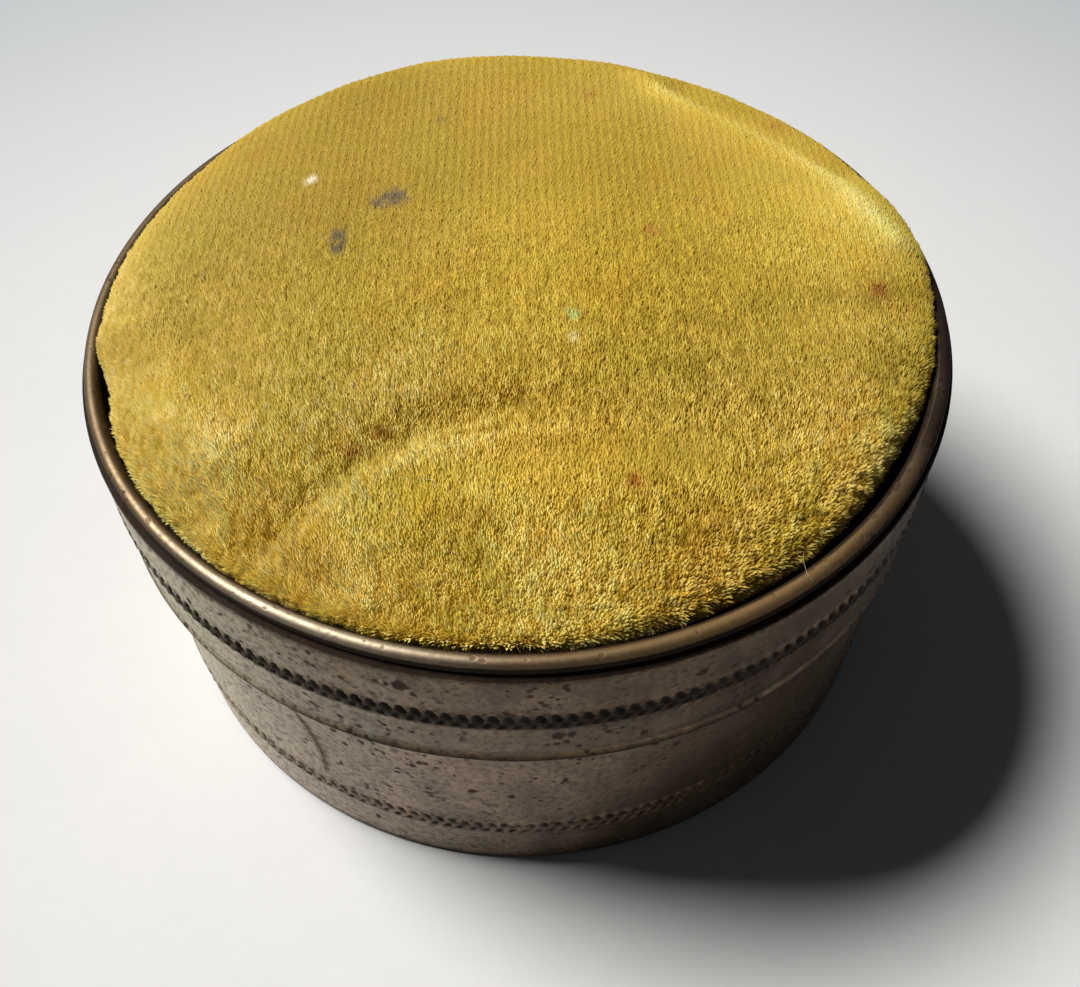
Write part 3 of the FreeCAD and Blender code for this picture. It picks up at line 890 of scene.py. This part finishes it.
# Lines on the pile: points, width, change of tone, and how much looser the pile stands there. The
# second, fourth and fifth lines lighten ridges: painted highlights along the folds.
LINES = [
    (CREASE, 1.0, 0.06, 1.0),
    ([(-11.3, -18.2), (-8.6, -15.7), (-5.9, -13.9), (-3.0, -12.6), (0.0, -11.9), (3.0, -11.8)],
     0.3, 0.22, 0.0),
    ([(-9.8, -18.3), (-6.5, -16.0), (-3.0, -14.3), (2.0, -13.6), (8.0, -13.2)], 1.6, 0.0, -0.7),
    ([(-18.2, -3.0), (-16.6, -6.5), (-16.2, -9.5)], 0.9, 0.1, -0.2),
    ([(8.6, 15.2), (11.5, 13.0), (15.0, 10.0), (18.0, 6.0), (20.2, 1.5)], 0.9, 0.26, 0.0),
]

# Deeper or yellower areas: x, y, radius, and the change of green and of blue as a share.
TINTS = [
    (6.0, -2.0, 10.0, 0.0, -0.38),
    (3.5, 8.0, 5.5, -0.04, -0.18),
    (-8.0, -12.0, 6.0, 0.09, 0.5),
    (1.0, -18.5, 4.0, 0.08, 0.2),
    (-17.5, 1.0, 6.5, 0.04, 0.45),
    (18.5, 4.0, 3.5, 0.04, 0.1),
    (1.0, -14.6, 4.5, -0.05, -0.16),
    (9.0, -9.5, 4.0, 0.04, 0.28),
]

# The front strip, from the first y to the second, is brighter by a share: painted light on the front
# of the pile.
FRONT_STRIP = (-7.0, -12.5, 0.16)

CHANCE_GRID = 512
CHANCE_START = 9000

# Painted shade and light on each fibre: change of tone at its root, tip and two sides.
FLAKE_SHADING = [-0.1, 0.1, -0.02, -0.02]

DEEP_GOLD = np.array((0.36, 0.22, 0.012))
MID_GOLD = np.array((0.78, 0.552, 0.082))
PALE_GOLD = np.array((1.0, 0.87, 0.33))


def gold_colour(tone):
    """The pile's colour from deep, at 0, through mid, at 0.5, to pale, at 1."""
    tone = np.clip(tone, 0, 1)[:, None]
    low = DEEP_GOLD + (MID_GOLD - DEEP_GOLD) * np.clip(tone * 2, 0, 1)
    return low + (PALE_GOLD - MID_GOLD) * np.clip(tone * 2 - 1, 0, 1)


def chance(x, y, wide, long, seed):
    """Smooth chance from -1 to 1, in patches of about wide by long millimetres."""
    table = np.random.default_rng(seed).uniform(-1, 1, (CHANCE_GRID, CHANCE_GRID))
    across, along = x / wide + CHANCE_START, y / long + CHANCE_START
    i, j = across.astype(int), along.astype(int)
    u, v = across - i, along - j
    return blend_cells(table, i, j, u * u * (3 - 2 * u), v * v * (3 - 2 * v))


def fibre_places():
    """Flat places of the pile's fibres on the cut disc, in rows along Y."""
    reach = CLOTH_REACH.max()
    rows = np.arange(-reach, reach, ROW_PITCH)
    columns = np.arange(-reach, reach, FIBRE_PITCH)
    x, y = [part.ravel() for part in np.meshgrid(rows, columns, indexing="ij")]
    x = x + random.uniform(-0.5, 0.5, x.size) * ROW_PITCH
    y = y + random.uniform(-0.5, 0.5, y.size) * FIBRE_PITCH
    angle = np.arctan2(y, x)
    share = np.hypot(x, y) / np.interp(angle % TAU, np.arange(AZIMUTHS) / AZIMUTHS * TAU,
                                       CLOTH_REACH, period=TAU)
    kept = share < 0.985
    return x[kept], y[kept], share[kept], angle[kept]


def slow_tone(place, share):
    """Tone of the pile from its patches, lines, creases and lumps, with painted light on ridges and
    lumps, painted shade in creases and a painted sheen at the edge.
    """
    x, y = place[:, 0], place[:, 1]
    tone = np.full(len(x), 0.4)
    for centre_x, centre_y, radius, change in PATCHES:
        tone = tone + change * bump_shape(np.hypot(x - centre_x, y - centre_y) / radius)
    # The lines that follow ridges add painted highlights along the folds.
    for points, width, change, _ in LINES:
        tone = tone + change * along_path(x, y, points, width)
    # Painted light and shade: raised ridges and lumps lighter, creases darker.
    tone = tone + 0.3 * stroke_rise(x, y) + 0.25 * lump_rise(x, y)
    # Painted sheen: the pile lighter towards its edge.
    return tone + 0.1 * np.clip((share - 0.86) / 0.1, 0, 1)


def stain(colour, place):
    """Mix the stains into the fibres' colours."""
    for x, y, radius, mark, strength in STAINS:
        wobble = 1 + 0.35 * np.sin(place[:, 0] * 7) * np.sin(place[:, 1] * 5)
        distance = np.hypot(place[:, 0] - x, place[:, 1] - y) / (radius * wobble)
        share = (strength * bump_shape(distance ** 2))[:, None]
        colour = colour * (1 - share) + np.array(mark) * share
    return colour


def unit(vectors):
    """Vectors of length 1 in the same directions."""
    return vectors / (np.linalg.norm(vectors, axis=-1, keepdims=True) + 1e-12)


def flakes(root, tip, side, up, width, thick):
    """Slim ridged fibres, widest half way along: four points and four triangles each."""
    middle = root + (tip - root) * 0.55 - up * thick[:, None]
    points = np.stack([root, tip, middle - side * width[:, None], middle + side * width[:, None]], 1)
    pattern = np.array([(0, 3, 1), (0, 1, 2), (0, 2, 3), (1, 3, 2)])
    faces = (4 * np.arange(len(root))[:, None, None] + pattern).reshape(-1, 3)
    return points.reshape(-1, 3), faces


def looseness(x, y, place):
    """How loosely the pile stands: near 0 where it lies flat at the back, over 1 at the front."""
    loose = (9 - place[:, 1] + 3 * chance(x, y, 7, 7, 1)) / 16
    for points, width, _, change in LINES:
        loose = loose + change * along_path(place[:, 0], place[:, 1], points, width)
    return np.clip(loose, 0.12, 1.5)


def woven_rows(x, y):
    """The rows of the weave along Y, and across them at the front right."""
    cross_rows = np.clip((x - 7) / 8, 0, 1) * np.clip((4 - y) / 4, 0, 1)
    rows = 0.8 * np.cos(x * TAU / WEAVE_PITCH + 0.4 * np.sin(y / 4))
    return rows + cross_rows * np.cos(y * TAU / CROSS_PITCH - 0.9 * x)


def pile_colour(tone, points):
    """The colour of each point of the fibres, from its tone, the marks where it is, and painted light
    on the front strip.
    """
    colour = gold_colour(tone)
    for x, y, radius, green, blue in TINTS:
        near = bump_shape(np.hypot(points[:, 0] - x, points[:, 1] - y) / radius)
        colour[:, 1:3] *= 1 + near[:, None] * np.array((green, blue))
    # Painted light: the front strip of the pile is brightened.
    start, full, lift = FRONT_STRIP
    ahead = np.clip((start - points[:, 1]) / (start - full), 0, 1)
    colour = colour * np.minimum(1 + lift * ahead, 1 / colour[:, 0])[:, None]
    return stain(colour, points)


def make_pile():
    """The velvet's pile: fine short fibres, each a closed sliver.

    Towards the back the pile lies flat, away from the viewer, and looks smooth. Towards the
    front it stands up and gathers in small bundles.
    """
    x, y, share, angle = fibre_places()
    place, normal = drape_frame(share, angle)
    count = len(x)
    east = unit(np.cross([0, 1.0, 0], normal))
    north = np.cross(normal, east)
    loose, weave = looseness(x, y, place), woven_rows(x, y)
    bundle, fleck = chance(x, y, 0.3, 0.36, 2), chance(x, y, 0.16, 0.42, 3)
    turn = 0.12 * np.sin(x / 6 + 1) + 0.1 * np.sin(y / 5) + 0.22 * loose * chance(x, y, 0.6, 0.6, 4)
    flat_way = np.sin(turn)[:, None] * east + np.cos(turn)[:, None] * north
    flat_way = flat_way + random.normal(0, 0.16, (count, 1)) * east
    rise = 0.27 + 0.17 * loose * (1 + 0.6 * bundle) + 0.09 * weave
    length = FIBRE_LENGTH - 0.05 * loose + 0.1 * random.uniform(-1, 1, count) + 0.08 * loose * bundle
    length = length * np.clip((1.0 - share) / 0.03, 0.6, 1)
    heading = unit(flat_way * (1 - 0.35 * loose)[:, None] + normal * rise[:, None])
    root = place - normal * ROOT_DEPTH
    tip = root + heading * length[:, None]
    side = unit(np.cross(heading, normal))
    up = np.cross(side, heading)
    width = random.uniform(*FIBRE_WIDTHS, count)
    thick = width * (0.2 + 0.35 * loose)
    tone = slow_tone(place, share) + 0.24 * (np.minimum(loose, 1) - 1) + 0.09 * weave
    rough = loose * np.minimum(loose + 0.15, 1)
    tone = tone + (0.03 + 0.18 * rough) * fleck + 0.1 * rough * bundle
    tone = tone + random.normal(0, 1, count) * (0.02 + 0.06 * rough)
    pieces = []
    for part in range(PILE_PIECES):
        own = slice(part, None, PILE_PIECES)
        points, faces = flakes(root[own], tip[own], side[own], up[own], width[own], thick[own])
        # Painted shade at each fibre's root and painted light at its tip, stronger where the pile
        # stands loose.
        shading = np.tile(FLAKE_SHADING, len(tone[own])) * np.repeat(0.3 + loose[own], 4)
        colour = pile_colour(np.repeat(tone[own], 4) + shading, points)
        piece = make_piece(f"velvet_pile_{part + 1}", points, faces.tolist(), smooth_angle=None)
        paint(piece, "tone", np.hstack([colour, np.ones((len(colour), 1))]))
        pieces.append(piece)
    return pieces


def lint_strand():
    """A short hair that wanders over the pile from a random place."""
    share, angle = math.sqrt(random.uniform(0.02, 0.72)), random.uniform(0, TAU)
    start, normal = drape_frame(np.array([share]), np.array([angle]))
    heading = random.uniform(0, TAU)
    strand = [start[0] + normal[0] * PILE_HEIGHT * 0.95]
    for _ in range(5):
        heading += random.normal(0, 0.5)
        step = np.array([math.cos(heading), math.sin(heading), random.normal(0, 0.25)])
        strand.append(strand[-1] + step * random.uniform(0.15, 0.32))
    return strand


def make_fibres():
    """Loose hairs: one that crosses the gap at the front right, and lint on the pile."""
    strands = [GAP_HAIR] + [lint_strand() for _ in range(LINT_COUNT)]
    points, faces = [], []
    for strand in strands:
        line = np.array(strand, float)
        side = unit(np.cross(unit(np.gradient(line, axis=0)), [0.3, 0.2, 0.9]))
        other = np.cross(unit(np.gradient(line, axis=0)), side)
        thick = HAIR_RADIUS * np.sin(np.linspace(0.35, math.pi - 0.2, len(line)))
        tube = ring_faces(len(line), 4)
        tube += [(3, 2, 1, 0), tuple(4 * (len(line) - 1) + corner for corner in range(4))]
        faces += [tuple(len(points) + corner for corner in face) for face in tube]
        for spot, s, o, size in zip(line, side, other, thick):
            for corner in range(4):
                turn = corner * TAU / 4
                points.append(spot + size * (math.cos(turn) * s + math.sin(turn) * o))
    return make_piece("loose_fibres", points, faces, smooth_angle=None)


# ---------------------------------------------------------------- what the tin holds

def disc_grid(name, rings, segments, surface):
    """A closed piece made of rings: surface(row, angle) gives each ring's points.

    The first and the last ring are closed with a fan about their own middle.
    """
    angle = np.arange(segments) / segments * TAU
    loops = [surface(row, angle) for row in range(rings)]
    points = np.vstack(loops + [loops[0].mean(0), loops[-1].mean(0)])
    return make_piece(name, points, capped_rings(rings, segments))


def make_cake():
    """The rosin: cast sides, a chipped upper edge and a track worn across the top by the bow."""
    radius, low, high = half_width("rosin_cake"), level("rosin_cake"), level("rosin_cake", True)
    wear_radius, wear_depth, rounding = 30.0, 1.0, 0.8
    side = [(radius * part, low) for part in (0.02, 0.5, 0.985)]
    side += [(radius, low + 0.25 + (high - low - 0.25 - rounding) * part)
             for part in np.linspace(0, 1, 22)]
    side += [tuple(p) for p in arc((radius - rounding, high - rounding), rounding, 8, 82, 0.12)]
    side += [((radius - rounding) * part, high) for part in np.linspace(1, 0.01, 70)]
    side = np.array(side)

    def surface(row, angle):
        across, height = side[row]
        chips = 0.22 * np.clip(ring_noise(angle, 0.09, 51.0) - 0.12, 0, 1) * (height > high - 2.2)
        chips = chips + 0.05 * ring_noise(angle, 0.3, 52.0) * (across > radius * 0.9)
        reach = across - np.clip(chips, 0, 0.3)
        x, y = reach * np.cos(angle), reach * np.sin(angle)
        worn = high + wear_radius - wear_depth - np.sqrt(wear_radius ** 2 - x ** 2)
        scored = 0.035 * np.sin(x * 9 + 0.4 * np.sin(y / 3)) * bump_shape(x / 5)
        top = np.minimum(height, worn + scored * (height > high - rounding))
        return np.stack([x, y, top], -1)

    piece = disc_grid("rosin", len(side), 300, surface)
    places = np.array([tuple(v.co) for v in piece.data.vertices]) / MM
    track = bump_shape(places[:, 0] / 6.2) * (places[:, 2] > high - 1.6)
    rim = 0.35 * (np.hypot(places[:, 0], places[:, 1]) > radius - 0.6) * (places[:, 2] > high - 1.5)
    paint(piece, "dust", np.maximum(track, rim))
    return piece


CLOTH_SIDE = 0.8


def make_cake_cloth():
    """Velvet under the cake, with its cut edge pressed up the side in shallow pleats."""
    outer, low = half_width("cake_cloth"), level("cake_cloth")
    high = level("cake_cloth", top=True)
    inner = outer - CLOTH_SIDE
    bottom = low + CLOTH_SIDE
    line = [(outer * part, low) for part in np.linspace(0.05, 0.97, 12)]
    line += [tuple(p) for p in arc((outer - 0.6, low + 0.6), 0.6, -75, 0, 0.2)]
    line += [(outer, low + 0.6 + (high - low - 0.6) * part) for part in np.linspace(0.05, 0.94, 16)]
    line += [(inner, high - (high - bottom) * part) for part in np.linspace(0.05, 0.95, 12)]
    line += [(inner * part, bottom) for part in np.linspace(0.97, 0.05, 8)]
    line = np.array(line)

    def surface(row, angle):
        across, height = line[row]
        climb = np.clip((height - low) / (high - low), 0, 1)
        pleat = (0.16 * np.sin(angle * 26 + 2 * ring_noise(angle, 0.5, 61.0)) - 0.16) * climb
        outside = float(across > inner + 0.1)
        ragged = 0.35 * ring_noise(angle, 0.06, 62.0) * (climb > 0.85)
        reach = across + pleat * outside
        return np.stack([reach * np.cos(angle), reach * np.sin(angle), height + ragged - 0.15 * climb],
                        -1)

    return disc_grid("cake_velvet", len(line), 312, surface)


def make_wadding():
    """The lumpy wad of cotton between the board and the velvet."""
    radius, low = half_width("pad_wadding"), level("pad_wadding")
    shares = np.concatenate([np.linspace(0.05, 0.99, 12), np.linspace(1.0, 0.02, 40)])
    turn = 12

    def surface(row, angle):
        share = np.full_like(angle, shares[row])
        if row < turn:
            reach = radius * share * 0.98
            return np.stack([reach * np.cos(angle), reach * np.sin(angle), 0 * reach + low], -1)
        over, _ = drape_frame(np.minimum(share, 0.9), angle)
        gap = CLOTH_THICKNESS + 0.12
        reach = np.hypot(over[:, 0], over[:, 1])
        squeeze = np.minimum(1, (radius - 0.1) / np.maximum(reach, 1e-6))
        height = np.maximum(over[:, 2] - gap, low + 0.05)
        if row == turn:
            height = np.minimum(height, low + 0.5)
        return np.stack([over[:, 0] * squeeze, over[:, 1] * squeeze, height], -1)

    return disc_grid("wadding", len(shares), 240, surface)


def make_wall_paper():
    """The paper strip inside the base, with its lapped end."""
    outer = half_width("wall_liner")
    low, high = level("wall_liner"), level("wall_liner", top=True)
    thick, steps, rows, lap, seam, ragged = 0.16, 300, 12, 0.22, 1.1, 0.12
    points, faces = [], []
    for layer in (0, 1):
        for row in range(rows):
            at_top = row == rows - 1
            for step in range(steps + 1):
                angle = (TAU + lap) * step / steps + seam
                over = np.clip((angle - seam - TAU + lap) / lap, 0, 1)
                radius = outer - thick * layer - (thick + 0.03) * over
                edge = ragged * math.sin(angle * 9) * math.sin(angle * 4.3) * at_top
                height = low + (high - low) * row / (rows - 1) + edge - ragged * at_top
                points.append((radius * math.cos(angle), radius * math.sin(angle), height))
    wide = steps + 1
    count = rows * wide
    for row in range(rows - 1):
        for step in range(steps):
            a, b = row * wide + step, (row + 1) * wide + step
            faces.append((a, a + 1, b + 1, b))
            faces.append((count + a, count + b, count + b + 1, count + a + 1))
    for step in range(steps):
        top = (rows - 1) * wide + step
        faces.append((top, top + 1, count + top + 1, count + top))
        faces.append((step, count + step, count + step + 1, step + 1))
    for row in range(rows - 1):
        a, b = row * wide, (row + 1) * wide
        faces.append((a, b, count + b, count + a))
        a, b = a + steps, b + steps
        faces.append((a, count + a, count + b, b))
    return make_piece("wall_paper", points, faces)


# ---------------------------------------------------------------- putting it together

def finish_piece(piece, body, slot, material, *nodes):
    """Give a piece its material, its body and the CAD nodes that it stands for."""
    piece.data.materials.clear()
    piece.data.materials.append(material)
    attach(piece, body)
    if nodes:
        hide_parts(*nodes)


def dress_node(node, material):
    """A CAD node that stays gets a better material."""
    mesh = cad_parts[node].data
    mesh.materials.clear()
    mesh.materials.append(material)


def make_tin():
    """The lid's and the base's metal."""
    lid = lathe("lid", lid_outline(), LID_PITS * STEPS_PER_PIT, lid_push)
    base = lathe("base", base_outline(), BASE_PITS * STEPS_PER_PIT, base_push)
    lid_metal = tinned_metal("lid_metal", (0.15, 0.097, 0.055), (0.066, 0.041, 0.024))
    base_metal = tinned_metal("base_metal", (0.25, 0.173, 0.115), (0.135, 0.089, 0.058))
    finish_piece(lid, "lid", "lid_metal", lid_metal, "lid_shell")
    finish_piece(base, "base", "base_metal", base_metal, "base_cup")


def make_pad():
    """The velvet, its pile and loose hairs, and the wadding under it."""
    velvet = make_velvet_cover()
    ground = velvet_ground("velvet_ground", (0.4, 0.26, 0.03), (0.62, 0.43, 0.06))
    finish_piece(velvet, "lid", "velvet", ground, "velvet_cover")
    pile = velvet_pile("velvet_pile")
    for piece in make_pile():
        finish_piece(piece, "lid", "velvet", pile)
    finish_piece(make_fibres(), "lid", "velvet", hair("lint"))
    wadding = make_wadding()
    finish_piece(wadding, "lid", "wadding", cotton("wadding"), "pad_wadding")


def make_contents():
    """What is inside: the rosin, its cloth and the liners."""
    cake = make_cake()
    finish_piece(cake, "cake", "rosin", rosin_amber("rosin"), "rosin_cake")
    cloth = make_cake_cloth()
    ground = velvet_ground("cake_velvet", (0.12, 0.08, 0.015), (0.36, 0.24, 0.05))
    finish_piece(cloth, "cake", "cake_velvet", ground, "cake_cloth")
    paper = pulp("liner_paper", (0.66, 0.58, 0.42), (0.5, 0.42, 0.28), 0.5)
    card = pulp("card", (0.34, 0.27, 0.18), (0.22, 0.17, 0.11), 0.7)
    finish_piece(make_wall_paper(), "base", "paper", paper, "wall_liner")
    dress_node("lid_liner", paper)
    dress_node("floor_liner", card)
    dress_node("pad_board", card)


def add_object(name, data, place, turn):
    """A light or a camera in the scene, at a place in metres and turned."""
    made = bpy.data.objects.new(name, data)
    made.matrix_world = Matrix.Translation(place) @ turn
    bpy.context.scene.collection.objects.link(made)
    return made


def make_floor():
    """A plain pale floor under the tin, three metres wide."""
    bpy.ops.mesh.primitive_plane_add(size=3)
    floor = bpy.context.object
    floor.name = "floor"
    floor.data.materials.append(pale_floor("floor"))


def make_window():
    """One soft oval light at the back left."""
    distance, half_long, half_short = 1.5, math.radians(14), math.radians(9.2)
    azimuth, height, tilt = math.radians(156), math.radians(55.5), math.radians(-22.6)
    key = bpy.data.lights.new("window", "AREA")
    key.shape = "ELLIPSE"
    key.energy = 30.5
    key.color = (1.0, 0.985, 0.96)
    key.size = 2 * distance * math.tan(half_long)
    key.size_y = 2 * distance * math.tan(half_short)
    direction = Vector((math.cos(height) * math.cos(azimuth),
                        math.cos(height) * math.sin(azimuth), math.sin(height)))
    level_way = Vector((-math.sin(azimuth), math.cos(azimuth), 0))
    long_way = math.cos(tilt) * level_way + math.sin(tilt) * direction.cross(level_way)
    turn = Matrix((long_way, direction.cross(long_way), direction)).transposed().to_4x4()
    add_object("window", key, direction * distance, turn)


def make_room_light():
    """A faint even light from all round."""
    world = bpy.data.worlds.new("room")
    world.use_nodes = True
    sky = world.node_tree.nodes["Background"].inputs
    sky["Color"].default_value = (0.85, 0.93, 1.0, 1)
    sky["Strength"].default_value = 0.03
    bpy.context.scene.world = world
    bpy.context.scene.view_settings.view_transform = "Standard"


def make_camera():
    """The photograph's viewpoint: close above the front of the tin, looking down."""
    look_down, roll, place = math.radians(52.0), math.radians(-1.37), (0.0010, -0.0443, 0.0614)
    lens = bpy.data.cameras.new("camera")
    lens.lens = 37.07
    lens.sensor_width = 36
    lens.clip_start = 0.001
    turn = Matrix.Rotation(math.pi / 2 - look_down, 4, "X") @ Matrix.Rotation(roll, 4, "Z")
    bpy.context.scene.camera = add_object("camera", lens, place, turn)


make_floor()
make_window()
make_room_light()
make_camera()
make_tin()
make_pad()
make_contents()
